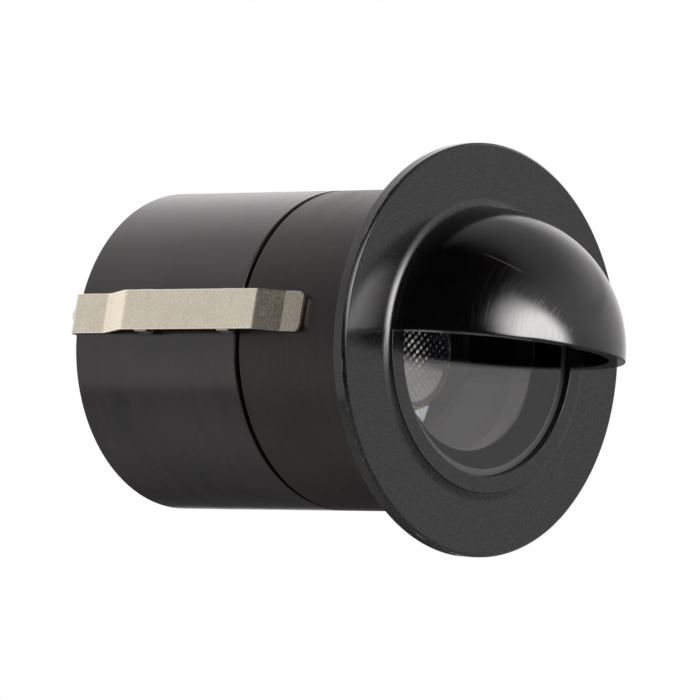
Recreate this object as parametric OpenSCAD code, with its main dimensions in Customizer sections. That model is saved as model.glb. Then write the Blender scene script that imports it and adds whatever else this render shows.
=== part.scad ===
// Recessed in-ground and step light with a half-dome eyelid over its glass.
// Origin: centre of the flange's back face. +Y runs back into the recess and +Z is up,
// so the light leaves towards -Y, under the eyelid. All sizes are in millimetres.

/* [Flange and eyelid] */
// Outside diameter of the flange
flange_d = 60; // [56:0.5:66]
// Thickness of the flange
flange_t = 2; // [1.6:0.1:3]
// Chamfer round the front edge of the flange
flange_chamfer = 0.4; // [0.2:0.1:0.8]
// Wall of the dome that the eyelid and the raised ring are cut from
eyelid_wall = 2.45; // [2:0.05:3]
// How far the dome's centre lies behind the flange's face
eyelid_sink = 0.25; // [0:0.05:1]
// Height above the axis at which the dome is cut to leave the eyelid
eyelid_cut_z = 0; // [-2:0.5:4]
// Height of the raised ring over the flange's face
ring_h = 0.85; // [0.8:0.05:1.5]
// Fillet from the flange's face up to the dome
ring_fillet = 0.7; // [0.3:0.05:0.8]
// Thickness of the ledge behind the glass
ledge_t = 4.3; // [3:0.1:6]
// Depth of the recess in the flange's back that centres the collar
collar_seat = 0.3; // [0.1:0.1:0.8]

/* [Glass] */
// Thickness of the glass
glass_t = 6; // [4:0.5:8]
// Depth of the glass below the raised ring
glass_inset = 1; // [0.5:0.1:2]
// Bevel round the front edge of the glass
glass_bevel = 0.5; // [0.2:0.1:0.8]
// Width of the sealed gap round the glass
seal_w = 0.55; // [0.4:0.05:1]
// Depth of the sealant's face below the face of the glass
seal_inset = 0.7; // [0.3:0.1:1.5]
// Width of the flat gasket's border round the clear opening
gasket_w = 3.15; // [2.5:0.05:5]
// Thickness of the flat gasket
gasket_t = 0.5; // [0.4:0.1:1]
// Step from the gasket's opening out to the ledge's bore
ledge_step = 0.8; // [0.4:0.1:1.5]

/* [Front collar] */
// Outside diameter of the collar and of the rear housing
body_d = 47; // [44:0.5:50]
// Wall of the housing round the collar's thread, and of the collar round the faceplate's spigot
shell_wall = 2.5; // [2:0.1:3]
// Wall of the faceplate's spigot round the glass
spigot_wall = 2.7; // [2.4:0.1:3.2]
// Wall of the collar's male part
male_wall = 2.5; // [2:0.1:3]
// Length of the collar that shows behind the flange
collar_len = 24.9; // [22:0.1:30]
// Length of the male part that screws into the housing
male_len = 13; // [12:0.5:16]
// Pitch of the thread
thread_pitch = 1.5; // [1:0.25:2]
// Depth of the thread
thread_depth = 0.6; // [0.4:0.1:0.8]
// Plain length between the seal groove and the thread
thread_relief = 1.8; // [1:0.1:3]

/* [Seal rings] */
// Depth of the grooves for the sealing rings
groove_depth = 1.1; // [0.9:0.1:1.3]
// Width of those grooves
groove_w = 1.6; // [1.4:0.1:2]
// Land between the collar's shoulder and its groove
groove_land = 1.8; // [1:0.1:2.5]
// Land behind the groove at the end of the faceplate's spigot
spigot_land = 1.5; // [1:0.1:2]

/* [Rear housing] */
// Gap that shows as a dark groove between the collar and the housing
seam_gap = 0.4; // [0.2:0.1:0.8]
// Width of the step that the heat sink rests on
room_step = 2.5; // [2:0.1:3]
// Thickness of the rear wall
rear_wall = 3.5; // [3:0.5:6]
// Small chamfer on the turned edges
edge_break = 0.2; // [0.1:0.05:0.4]

/* [Light source] */
// Distance from the back of the glass to the optic
optic_gap = 11; // [8:0.5:13]
// Radius of the optic's face
optic_r = 8.6; // [8:0.1:9]
// Height of the optic
optic_h = 8.9; // [8:0.1:10]
// Thickness of the optic's front plate
optic_plate_t = 1.2; // [0.8:0.1:1.6]
// How much the optic narrows from its face to its foot
optic_taper = 4.1; // [3.9:0.1:4.4]
// Radius of the hollow in the optic over the light source
optic_well_r = 2.6; // [2:0.1:2.8]
// Depth of that hollow
optic_well_d = 3.2; // [2.5:0.1:4]
// Angle of the first of the optic's three lugs
lug_angle = -68; // [-75:1:-60]
// Length of a lug from the optic's rim to its point
lug_len = 2.1; // [1.5:0.1:2.5]
// Wall of the holder
holder_wall = 1.3; // [1:0.1:2]
// Thickness of the holder's floor
holder_floor_t = 1.2; // [1:0.1:2]
// How far the holder's rim stands in front of the optic
holder_lip = 0.4; // [0:0.1:1]
// Thickness of the light-source board
board_t = 1.4; // [1:0.1:2]
// Thickness of the thermal pad
pad_t = 0.3; // [0.2:0.1:0.5]
// Thickness of the disc at the back of the heat sink
sink_disc_t = 4; // [3:0.5:5]
// Side of the square light source
source_w = 3.5; // [3:0.1:4]
// Distance of the board screws and the leads from the holder's wall
stack_inset = 2.7; // [2.4:0.1:2.8]

/* [Driver] */
// Wall of the driver's insulating tray
tray_wall = 1; // [0.8:0.1:1.3]
// Distance from the heat sink to the driver board
driver_gap = 3.2; // [2.5:0.1:3.5]
// Thickness of the driver board
driver_t = 1.6; // [1:0.1:1.8]
// Radius of the storage capacitor
cap_r = 3.15; // [2.5:0.05:4]
// Length of the storage capacitor
cap_len = 5.8; // [4:0.1:9]
// Radius of the inductor
coil_r = 4; // [3:0.1:4.5]
// Height of the inductor
coil_h = 5; // [3:0.1:8]
// Room over the tallest of the driver's parts
headroom = 0.45; // [0.3:0.05:2]

/* [Spring clips] */
// Angle of the left clip above the level of the eyelid's edge
clip_angle = 5.2; // [0:0.2:12]
// Width of a clip
clip_w = 6; // [5:0.1:8]
// Thickness of the spring sheet
clip_t = 0.55; // [0.4:0.05:0.7]
// Length of the foot that lies along the housing
clip_foot_len = 6; // [5:0.1:8]
// Length of the rear ramp
clip_ramp_len = 5.2; // [4:0.1:7]
// Length of the raised part that grips the recess
clip_grip_len = 26.2; // [22:0.1:27]
// Length of the front ramp
clip_front_len = 4; // [3:0.1:5]
// Length of the tip
clip_tip_len = 4.1; // [3:0.1:5]
// Height of the raised part's outer face over the housing
clip_rise = 2.8; // [2.3:0.1:3.4]
// Height of the tip's inner face over the collar
clip_tip_gap = 0.3; // [0.2:0.05:0.6]
// Radius of the tip's corners
clip_corner_r = 1; // [0.5:0.1:2]
// Length of the tab that is screwed to the rear face
clip_tab_len = 5.55; // [5:0.05:6]
// Depth of the bent ears from the clip's outer face
ear_depth = 2; // [1.5:0.1:2.1]
// Width of an ear
ear_w = 2.3; // [1.5:0.1:3]
// Distance of the rear ears' front edge from the start of the raised part
ear_inset = 5.45; // [4:0.05:6]
// Distance between the two pairs of ears
ear_pitch = 15.8; // [12:0.1:17]
// Radius of the clip screws' shanks
clip_screw_r = 1.2; // [1:0.05:1.25]
// Length of the clip screws' shanks
clip_screw_len = 5; // [3.5:0.5:5.5]
// Distance of the clip screws from the housing's side
clip_screw_inset = 2.5; // [2.3:0.1:2.6]

/* [Cable gland] */
// Radius of the gland's thread through the rear wall
gland_r = 5; // [4.5:0.1:5.3]
// Width across the flats of the gland and of its nut
gland_af = 12.6; // [12:0.2:13]
// Height of the gland's hexagon
gland_hex_h = 4; // [3:0.5:4]
// Thickness of the washer under the gland
gland_washer_t = 0.8; // [0.5:0.1:1.2]
// Radius of the gland's bore for the cable
gland_bore_r = 3; // [2.8:0.1:3.4]
// Radius of the thread that takes the nut
gland_male_r = 5.3; // [5.1:0.1:5.4]
// Outside radius of the rubber bush
bush_r = 4.05; // [3.8:0.05:4.3]
// Bore of the rubber bush, where the cable goes
bush_bore_r = 2.6; // [2:0.1:2.8]
// Length of the rubber bush
bush_len = 6.3; // [5:0.1:6.5]

/* [Clearances] */
// Radial gap of the pieces that fit into each other
fit_gap = 0.05; // [0.03:0.01:0.08]
// Gap of pieces that lie loose beside each other
loose_gap = 0.2; // [0.1:0.05:0.25]

/* [Hidden] */

$fn = 96;
// Overshoot of a cut past the solid that it cuts
over = 1;

// Radii of the shells
body_r = body_d / 2;
thread_r = body_r - shell_wall;
housing_bore_r = thread_r + fit_gap;
collar_bore_r = thread_r - male_wall;
room_r = thread_r - room_step;
spigot_r = thread_r - fit_gap;
pocket_r = thread_r - spigot_wall;
eyelid_r = pocket_r + eyelid_wall;
glass_r = pocket_r - seal_w;
clear_r = glass_r - gasket_w;
ledge_bore_r = clear_r + ledge_step;

// Stations along the axis, from the raised ring back to the housing's rear face
face_y = -flange_t;
ring_y = face_y - ring_h;
dome_y = face_y + eyelid_sink;
glass_y = ring_y + glass_inset;
glass_back_y = glass_y + glass_t;
pocket_floor_y = glass_back_y + gasket_t;
spigot_end_y = pocket_floor_y + ledge_t;
spigot_groove_y = spigot_end_y - spigot_land - groove_w;
socket_floor_y = spigot_end_y + loose_gap;
collar_groove_y = collar_len + groove_land;
male_end_y = collar_len + male_len;
housing_y = collar_len + seam_gap;
disc_y = male_end_y + fit_gap;
room_y = disc_y + sink_disc_t;
driver_y = room_y + driver_gap;
driver_back_y = driver_y + driver_t;
terminal_size = [10, 5.4, 7];
tray_floor_y = driver_back_y + max(cap_len, coil_h, terminal_size[1]) + headroom;
tray_end_y = tray_floor_y + tray_wall;
wall_y = tray_end_y + loose_gap;
rear_y = wall_y + rear_wall;

// Thread: as many turns as the male part takes, ending at its chamfer
thread_turns = floor((male_len - groove_land - groove_w - thread_relief - edge_break) / thread_pitch);
thread_y = male_end_y - edge_break - thread_turns * thread_pitch;
// Share of each turn that the groove takes, the rest being the crest
thread_groove_share = 0.9;

// Stations of the light source and its optic
optic_y = glass_back_y + optic_gap;
optic_back_y = optic_y + optic_h;
holder_y = optic_y - holder_lip;
board_y = optic_back_y + holder_floor_t;
pad_y = board_y + board_t;
sink_y = pad_y + pad_t;
lug_r = optic_r + lug_len;
holder_bore_r = lug_r + loose_gap;
holder_r = holder_bore_r + holder_wall;
stack_pcd_r = holder_bore_r - stack_inset;

// The optic: its side is a parabola in optic_steps steps, from under the plate to the neck
optic_steps = 8;
optic_rim_w = 0.4;
optic_well_peak = 0.4;
optic_neck_r = optic_r - optic_taper;
lug_half_w = 1.8;
lug_root = 0.3;
function optic_side_r(s) = optic_neck_r + (optic_r - optic_rim_w - optic_neck_r) * sqrt(1 - s);

// The light source, and the screws and leads round it
source_hole_r = 3.4;
source_base_t = 0.7;
source_dome_r = 1.3;
screw_angle = 70;
lead_angle = 160;
lead_r = 0.8;
lead_end = 0.5;
m2_r = 0.95;
m2_head_r = 1.9;
m2_head_h = 1.4;
m2_grip = 5;

// The driver: its round parts and its boxes stand on the board at an angle and a distance from its edge
tray_r = room_r - loose_gap;
tray_inner_r = tray_r - tray_wall;
tray_y = room_y + loose_gap;
tray_hole_gap = 0.6;
driver_r = tray_inner_r - loose_gap;
post_r = 1.3;
post_inset = 1.9;
cap_angle = 27.5;
cap_inset = 6.3;
cap_crimp = 0.25;
cap_crimp_y = 1;
coil_angle = 152;
coil_inset = 6.5;
coil_flange_t = 0.9;
coil_flange_w = 0.6;
rectifier_angle = -26;
rectifier_inset = 4.9;
rectifier_size = [6.4, 2.5, 5];
controller_angle = 135;
controller_inset = 12.9;
controller_size = [5, 1.5, 4];
terminal_angle = -90;
terminal_inset = 6.1;
terminal_pitch = 5;
terminal_wire_r = 1.2;
terminal_wire_y = 1.5;
terminal_well = 2.5;
terminal_screw_r = 1.4;
terminal_screw_h = 2;
terminal_slot = 0.6;

// Stations and radii of the cable gland
gland_hole_r = gland_r + fit_gap;
gland_inside = 1;
gland_inner_y = wall_y - gland_inside;
gland_hex_y = rear_y + gland_washer_t;
gland_top_y = gland_hex_y + gland_hex_h;
gland_male_len = 3.8;
gland_male_end_y = gland_top_y + gland_male_len;
bush_seat = 0.4;
bush_taper_w = 0.5;
bush_taper_h = 0.8;
bush_y = gland_top_y + bush_seat;
bush_end_y = bush_y + bush_len;
nut_y = gland_top_y + loose_gap;
nut_inner_r = gland_male_r + fit_gap;
nut_end_t = 0.8;
nut_hole_gap = 0.6;
nut_end_y = bush_end_y + loose_gap + nut_end_t;
nut_crown_h = 2.6;
nut_crown_w = 1.6;

// Stations and radii of the clips
clip_in_r = body_r + fit_gap;
clip_top_r = body_r + clip_rise - clip_t;
clip_tip_r = body_r + clip_tip_gap;
clip_ramp_y = rear_y - clip_foot_len;
clip_grip_y = clip_ramp_y - clip_ramp_len;
clip_front_y = clip_grip_y - clip_grip_len;
clip_tip_y = clip_front_y - clip_front_len;
clip_end_y = clip_tip_y - clip_tip_len;
clip_angles = [180 - clip_angle, -clip_angle];
clip_screw_pcd_r = body_r - clip_screw_inset;
clip_screw_slack = 0.3;
clip_screw_head_r = 2.3;
clip_screw_head_h = 1.5;
clip_screw_hole_d = 6;

// Inner side of a clip as [radius, y], from the end of its tab to its tip
clip_path = [
    [clip_in_r - clip_tab_len, rear_y], [clip_in_r, rear_y], [clip_in_r, clip_ramp_y],
    [clip_top_r, clip_grip_y], [clip_top_r, clip_front_y],
    [clip_tip_r, clip_tip_y], [clip_tip_r, clip_end_y]
];

// Direction across a path, to the left of the way from point i to the next
function across(p, i) = let (v = p[i + 1] - p[i]) [-v[1], v[0]] / norm(v);

// Point i of a path moved across it by t, with mitred bends
function moved(p, i, t) =
    i == 0 ? p[0] + t * across(p, 0) :
    i == len(p) - 1 ? p[i] + t * across(p, i - 1) :
    let (a = across(p, i - 1), b = across(p, i)) p[i] + t * (a + b) / (1 + a * b);

// Turns a flat outline of [radius, y] points round the Y axis
module turned() rotate([-90, 0, 0]) rotate_extrude() children();

// Solid bar along Y
module bar(r, y0, y1) translate([0, y0, 0]) rotate([-90, 0, 0]) cylinder(r = r, h = y1 - y0);

// Ring along Y
module ring(r_out, r_in, y0, y1) difference() {
    bar(r_out, y0, y1);
    bar(r_in, y0 - over, y1 + over);
}

// Hexagonal bar along Y
module hex_bar(across_flats, y0, y1)
    translate([0, y0, 0]) rotate([-90, 0, 0]) cylinder(d = across_flats / cos(30), h = y1 - y0, $fn = 6);

// Places a piece on a circle round the axis: 0 is +X and 90 is up
module at(angle, radius) rotate([0, -angle, 0]) translate([radius, 0, 0]) children();

// Box of size [x, y, z] on the axis, with its front at y
module box(y, size) translate([-size[0] / 2, y, -size[2] / 2]) cube(size);

// Front half of a ball with its centre on the axis at y
module half_ball(r, y) translate([0, y, 0]) turned() intersection() {
    circle(r);
    translate([0, -r]) square(r);
}

// Sealing ring of round section in the groove between r_in and r_out
module seal_ring(r_in, r_out, groove_y) translate([0, groove_y + groove_w / 2, 0]) turned()
    translate([(r_in + r_out) / 2, 0]) circle(d = r_out - r_in - 2 * fit_gap);

// Pan-head screw that points to +Y, with the underside of its cross-slotted head at y = 0
module pan_screw(head_r, head_h, shank_r, length) difference() {
    turned() polygon([
        [0, -head_h], [head_r * 0.6, -head_h], [head_r, -head_h * 0.45],
        [head_r, 0], [shank_r, 0], [shank_r, length - shank_r], [0, length]
    ]);
    for (turn = [0, 90])
        rotate([0, turn, 0]) translate([-head_r * 0.65, -head_h - over, -head_r * 0.18])
            cube([head_r * 1.3, over + head_h * 0.6, head_r * 0.36]);
}

// Flange, raised ring, eyelid and spigot, turned and milled from one bar
module eyelid_faceplate() color("#2c2b2b") difference() {
    union() {
        turned() polygon([
            [0, face_y], [flange_d / 2 - flange_chamfer, face_y],
            [flange_d / 2, face_y + flange_chamfer], [flange_d / 2, 0], [body_r + fit_gap, 0],
            [body_r + fit_gap, -collar_seat], [spigot_r, -collar_seat],
            [spigot_r, spigot_end_y], [0, spigot_end_y]
        ]);
        difference() {
            half_ball(eyelid_r, dome_y);
            translate([-eyelid_r - over, ring_y - eyelid_r - over, eyelid_cut_z - eyelid_r * 2])
                cube([2 * (eyelid_r + over), eyelid_r + over, eyelid_r * 2]);
        }
        ring_foot();
    }
    half_ball(pocket_r, dome_y);
    bar(pocket_r, dome_y, pocket_floor_y);
    bar(ledge_bore_r, pocket_floor_y - over, spigot_end_y + over);
    ring(spigot_r + over, spigot_r - groove_depth, spigot_groove_y, spigot_groove_y + groove_w);
}

// Fillet where the dome and the raised ring stand on the flange
module ring_foot() translate([0, face_y - ring_fillet, 0]) turned() difference() {
    translate([eyelid_r - eyelid_wall / 2, 0]) square([eyelid_wall / 2 + ring_fillet, ring_fillet]);
    translate([eyelid_r + ring_fillet, 0]) circle(ring_fillet);
}

// Tempered glass with a bevelled front edge
module lens_glass() color([0.8, 0.86, 0.88, 0.4]) turned() polygon([
    [0, glass_y], [glass_r - glass_bevel, glass_y], [glass_r, glass_y + glass_bevel],
    [glass_r, glass_back_y], [0, glass_back_y]
]);

// Flat gasket that the glass rests on
module lens_gasket() color("#1a1a1a") ring(pocket_r - fit_gap, clear_r, glass_back_y, pocket_floor_y);

// Bead of sealant round the glass
module lens_edge_seal() color("#101010")
    ring(pocket_r - fit_gap / 2, glass_r + fit_gap / 2, glass_y + seal_inset, glass_back_y);

// Sealing ring between the faceplate and the collar
module faceplate_o_ring() color("#161616") seal_ring(spigot_r - groove_depth, thread_r, spigot_groove_y);

// Collar that carries the faceplate in its socket and screws into the housing
module front_collar() color("#302d2c") turned() polygon(concat(
    [
        [thread_r, -collar_seat], [body_r, -collar_seat], [body_r, collar_len - edge_break],
        [body_r - edge_break, collar_len], [thread_r, collar_len],
        [thread_r, collar_groove_y], [thread_r - groove_depth, collar_groove_y],
        [thread_r - groove_depth, collar_groove_y + groove_w], [thread_r, collar_groove_y + groove_w]
    ],
    [
        for (i = [0 : thread_turns - 1])
            let (y = thread_y + i * thread_pitch)
            each [
                [thread_r, y],
                [thread_r - thread_depth, y + thread_pitch * thread_groove_share / 2],
                [thread_r, y + thread_pitch * thread_groove_share]
            ]
    ],
    [
        [thread_r - edge_break, male_end_y], [collar_bore_r, male_end_y],
        [collar_bore_r, socket_floor_y], [thread_r, socket_floor_y]
    ]
));

// Sealing ring between the collar and the housing
module collar_o_ring() color("#161616") seal_ring(thread_r - groove_depth, housing_bore_r, collar_groove_y);

// Housing cup: its mouth takes the collar, and its thick end takes the gland and the clip screws
module rear_housing() color("#302f2f") difference() {
    turned() polygon([
        [housing_bore_r, housing_y], [body_r - edge_break, housing_y],
        [body_r, housing_y + edge_break], [body_r, rear_y - edge_break],
        [body_r - edge_break, rear_y], [gland_hole_r, rear_y], [gland_hole_r, wall_y],
        [room_r, wall_y], [room_r, room_y], [housing_bore_r, room_y]
    ]);
    for (a = clip_angles)
        at(a, clip_screw_pcd_r) bar(clip_screw_r + fit_gap, rear_y - clip_screw_hole_d, rear_y + over);
}

// Heat sink: a disc clamped in the housing, with a pillar that carries the light source
module heat_sink() color("silver") difference() {
    union() {
        bar(thread_r, disc_y, room_y);
        bar(holder_r, sink_y, disc_y + over);
    }
    screw_holes(sink_y, sink_y + m2_grip);
    lead_holes(sink_y, room_y);
}

// The two screw holes through a piece of the stack, or into one
module screw_holes(y0, y1) for (a = [screw_angle, screw_angle + 180])
    at(a, stack_pcd_r) bar(m2_r + fit_gap, y0 - over, y1 + over);

// The two holes for the leads
module lead_holes(y0, y1) for (a = [lead_angle, lead_angle + 180])
    at(a, stack_pcd_r) bar(lead_r + loose_gap, y0 - over, y1 + over);

// Soft pad between the board and the heat sink
module thermal_pad() color("#9a9ea6") difference() {
    bar(holder_r - 2 * loose_gap, pad_y, sink_y);
    screw_holes(pad_y, sink_y);
    lead_holes(pad_y, sink_y);
}

// Metal-core board of the light source
module led_board() color("white") difference() {
    bar(holder_r - loose_gap, board_y, pad_y);
    screw_holes(board_y, pad_y);
    lead_holes(board_y, pad_y);
}

// Light source: a square base with a small dome
module led_chip() color("#f2d64b") union() {
    box(board_y - source_base_t, [source_w, source_base_t, source_w]);
    half_ball(source_dome_r, board_y - source_base_t);
}

// The two screws through the holder's floor and the board into the heat sink
module board_screws() color("silver") for (a = [screw_angle, screw_angle + 180])
    at(a, stack_pcd_r) translate([0, optic_back_y, 0])
        pan_screw(m2_head_r, m2_head_h, m2_r, sink_y - optic_back_y + m2_grip);

// Black cup round the optic
module optic_holder() color("#1d1d1f") difference() {
    bar(holder_r, holder_y, board_y);
    bar(holder_bore_r, holder_y - over, optic_back_y);
    bar(source_hole_r, optic_back_y - over, board_y + over);
    screw_holes(optic_back_y, board_y);
    lead_holes(optic_back_y, board_y);
}

// Clear collimating optic with three pointed lugs that centre it in the holder
module tir_optic() color([0.9, 0.94, 0.96, 0.6]) union() {
    turned() polygon(concat(
        [[0, optic_y], [optic_r, optic_y], [optic_r, optic_y + optic_plate_t]],
        [
            for (i = [0 : optic_steps])
                let (s = i / optic_steps)
                [optic_side_r(s), optic_y + optic_plate_t + s * (optic_h - optic_plate_t)]
        ],
        [
            [optic_well_r, optic_back_y], [optic_well_r, optic_back_y - optic_well_d],
            [0, optic_back_y - optic_well_d - optic_well_peak]
        ]
    ));
    for (i = [0 : 2])
        at(lug_angle + 120 * i, 0) translate([0, optic_y + optic_plate_t, 0]) rotate([90, 0, 0])
            linear_extrude(optic_plate_t) polygon([
                [optic_r - lug_root, -lug_half_w], [lug_r, 0], [optic_r - lug_root, lug_half_w]
            ]);
}

// Lead from the driver board, through the heat sink, up to the light source's board
module led_lead(angle) at(angle, stack_pcd_r) bar(lead_r, board_y - lead_end, driver_y);
module led_lead_plus() color("firebrick") led_lead(lead_angle);
module led_lead_minus() color("#202020") led_lead(lead_angle + 180);

// Insulating tray round the driver, with four posts under the board
module driver_tray() color("#e8e6df") union() {
    difference() {
        bar(tray_r, tray_y, tray_end_y);
        bar(tray_inner_r, tray_y - over, tray_floor_y);
        bar(gland_r + tray_hole_gap, tray_floor_y - over, tray_end_y + over);
    }
    for (a = [45 : 90 : 315])
        at(a, driver_r - post_inset) bar(post_r, driver_back_y, tray_floor_y + tray_wall / 2);
}

// Driver board
module driver_board() color("darkgreen") bar(driver_r, driver_y, driver_back_y);

// Places a part on the driver board, at an angle and a distance from the board's edge
module on_board(angle, inset) at(angle, driver_r - inset) children();

// Inductor: a drum with a wound waist
module driver_inductor() color("#3a3a3a") on_board(coil_angle, coil_inset) translate([0, driver_back_y, 0])
    turned() polygon([
        [0, 0], [coil_r, 0], [coil_r, coil_flange_t], [coil_r - coil_flange_w, coil_flange_t],
        [coil_r - coil_flange_w, coil_h - coil_flange_t], [coil_r, coil_h - coil_flange_t],
        [coil_r, coil_h], [0, coil_h]
    ]);

// Storage capacitor: a can with a crimped groove near its foot
module driver_capacitor() color("#27324a") on_board(cap_angle, cap_inset) translate([0, driver_back_y, 0])
    turned() polygon([
        [0, 0], [cap_r, 0], [cap_r, cap_crimp_y - cap_crimp], [cap_r - cap_crimp, cap_crimp_y],
        [cap_r, cap_crimp_y + cap_crimp], [cap_r, cap_len - cap_crimp],
        [cap_r - cap_crimp, cap_len], [0, cap_len]
    ]);

// Bridge rectifier on the back of the driver board
module driver_rectifier() color("#222222")
    on_board(rectifier_angle, rectifier_inset) box(driver_back_y, rectifier_size);

// Control chip on the front of the driver board
module driver_controller() color("#222222")
    on_board(controller_angle, controller_inset) box(driver_y - controller_size[1], controller_size);

// Places a piece at each of the terminal's two poles
module at_poles() on_board(terminal_angle, terminal_inset) for (side = [-1, 1])
    translate([0, driver_back_y, side * terminal_pitch / 2]) children();

// Two-pole terminal for the supply cable, with its wire holes towards the middle
module input_terminal() color("#3c8a52") difference() {
    on_board(terminal_angle, terminal_inset)
        box(driver_back_y, [terminal_size[2], terminal_size[1], terminal_size[0]]);
    at_poles() bar(terminal_screw_r + fit_gap, terminal_size[1] - terminal_well, terminal_size[1] + over);
    at_poles() translate([0, terminal_wire_y, 0]) rotate([0, -90, 0])
        cylinder(r = terminal_wire_r, h = terminal_size[2]);
}

// The terminal's two clamping screws, each at the bottom of its well
module terminal_screws() color("silver") at_poles() translate([0, terminal_size[1] - terminal_well, 0])
    difference() {
        bar(terminal_screw_r, 0, terminal_screw_h);
        box(terminal_screw_h - terminal_slot, [2 * (terminal_screw_r + over), over, terminal_slot]);
    }

// Sealing washer between the gland and the rear wall
module gland_washer() color("#1a1a1a") ring(gland_af / 2, gland_hole_r, rear_y, gland_hex_y);

// Gland body: thread through the wall, hexagon and the male thread for the nut
module gland_body() color("#c2c0bb") difference() {
    union() {
        bar(gland_r, gland_inner_y, gland_hex_y + over);
        hex_bar(gland_af, gland_hex_y, gland_top_y);
        bar(gland_male_r, gland_top_y - over, gland_male_end_y);
    }
    bar(gland_bore_r, gland_inner_y - over, gland_male_end_y + over);
    bar(bush_r + fit_gap, bush_y, gland_male_end_y + over);
}

// Rubber bush that grips the cable
module gland_bush() color("#1b1b1b") difference() {
    turned() polygon([
        [0, bush_y], [bush_r, bush_y], [bush_r, bush_end_y - bush_taper_h],
        [bush_r - bush_taper_w, bush_end_y], [0, bush_end_y]
    ]);
    bar(bush_bore_r, bush_y - over, bush_end_y + over);
}

// Crowned nut that squeezes the bush
module gland_nut() color("#c2c0bb") difference() {
    intersection() {
        hex_bar(gland_af, nut_y, nut_end_y);
        turned() polygon([
            [0, nut_y], [gland_af / 2, nut_y], [gland_af / 2 + over, nut_y + over],
            [gland_af / 2 + over, nut_end_y - nut_crown_h],
            [gland_af / 2 - nut_crown_w / 2, nut_end_y - nut_crown_w / 2],
            [gland_af / 2 - nut_crown_w, nut_end_y], [0, nut_end_y]
        ]);
    }
    bar(nut_inner_r, nut_y - over, gland_male_end_y + loose_gap);
    bar(bush_r + fit_gap, nut_y, nut_end_y - nut_end_t);
    bar(bush_bore_r + nut_hole_gap, nut_y, nut_end_y + over);
}

// Spring clip: a bent strip with a screw tab, two pairs of bent ears and a round-cornered tip
module spring_clip(angle) color("#b9ae98") at(angle, 0) difference() {
    union() {
        translate([0, 0, -clip_w / 2]) linear_extrude(clip_w) polygon(concat(
            clip_path,
            [for (i = [len(clip_path) - 1 : -1 : 0]) moved(clip_path, i, clip_t)]
        ));
        for (y = [clip_grip_y - ear_inset, clip_grip_y - ear_inset - ear_pitch], side = [-1, 1])
            translate([clip_top_r + clip_t - ear_depth, y, side * (clip_w - clip_t) / 2 - clip_t / 2])
                cube([ear_depth - clip_t / 2, ear_w, clip_t]);
    }
    at(0, clip_screw_pcd_r) bar(clip_screw_r + clip_screw_slack, rear_y - over, rear_y + clip_t + over);
    for (side = [-1, 1])
        clip_corner_cut(side);
}

// Takes one sharp corner off a clip's tip
module clip_corner_cut(side)
    translate([clip_tip_r - over, clip_end_y + clip_corner_r, side * (clip_w / 2 - clip_corner_r)])
        difference() {
            translate([0, -clip_corner_r - over, side > 0 ? 0 : -clip_corner_r - over])
                cube([clip_t + 2 * over, clip_corner_r + over, clip_corner_r + over]);
            translate([-over, 0, 0]) rotate([0, 90, 0]) cylinder(r = clip_corner_r, h = clip_t + 4 * over);
        }

module spring_clip_left() spring_clip(clip_angles[0]);
module spring_clip_right() spring_clip(clip_angles[1]);

// The two screws that hold the clips to the rear face
module clip_screws() color("#b8b8b8") for (a = clip_angles)
    at(a, clip_screw_pcd_r) translate([0, rear_y + clip_t, 0]) rotate([0, 0, 180])
        pan_screw(clip_screw_head_r, clip_screw_head_h, clip_screw_r, clip_screw_len);

eyelid_faceplate();
lens_glass();
lens_gasket();
lens_edge_seal();
faceplate_o_ring();
front_collar();
collar_o_ring();
rear_housing();
heat_sink();
thermal_pad();
led_board();
led_chip();
board_screws();
optic_holder();
tir_optic();
led_lead_plus();
led_lead_minus();
driver_tray();
driver_board();
driver_inductor();
driver_capacitor();
driver_rectifier();
driver_controller();
input_terminal();
terminal_screws();
gland_washer();
gland_body();
gland_bush();
gland_nut();
spring_clip_left();
spring_clip_right();
clip_screws();
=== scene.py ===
import math

import bmesh
import bpy
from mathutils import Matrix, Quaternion, Vector


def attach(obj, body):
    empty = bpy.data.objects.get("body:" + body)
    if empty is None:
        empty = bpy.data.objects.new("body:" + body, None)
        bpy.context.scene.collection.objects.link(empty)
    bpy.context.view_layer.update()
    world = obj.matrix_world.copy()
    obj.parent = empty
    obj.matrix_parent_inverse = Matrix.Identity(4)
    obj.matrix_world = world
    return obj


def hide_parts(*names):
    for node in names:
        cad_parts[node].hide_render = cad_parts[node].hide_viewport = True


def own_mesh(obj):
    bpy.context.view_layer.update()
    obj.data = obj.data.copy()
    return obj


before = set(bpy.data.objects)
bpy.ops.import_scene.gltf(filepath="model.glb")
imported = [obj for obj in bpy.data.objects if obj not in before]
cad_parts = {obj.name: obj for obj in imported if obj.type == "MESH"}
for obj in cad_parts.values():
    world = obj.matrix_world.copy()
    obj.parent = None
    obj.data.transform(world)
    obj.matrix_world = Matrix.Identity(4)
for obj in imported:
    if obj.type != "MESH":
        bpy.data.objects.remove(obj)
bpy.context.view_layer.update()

# Faceplate: flange, raised ring, half-dome eyelid and the spigot behind, turned and milled from one
# aluminium bar and anodised black. The edges are lightly broken, and the turning tool left fine rings.
MM = 0.001
FLANGE_R = 30.0
BEVEL_Y = -1.6
FACE_Y = -2.0
RING_Y = -2.85
RING_R = 20.71
FILLET_W = 1.3
FILLET_H = 0.72
DOME_Y = -1.75
DOME_R = 20.75
POCKET_R = 18.3
RIM_EASE = 0.16
SEAT_R = 23.55
SEAT_Y = -0.3
SPIGOT_R = 20.95
SPIGOT_END = 8.95
GROOVE_R = 19.85
GROOVE_START = 5.85
GROOVE_END = 7.45
LEDGE_Y = 4.65
CLEAR_R = 15.4
AROUND = 288
ACROSS = 121


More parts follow.
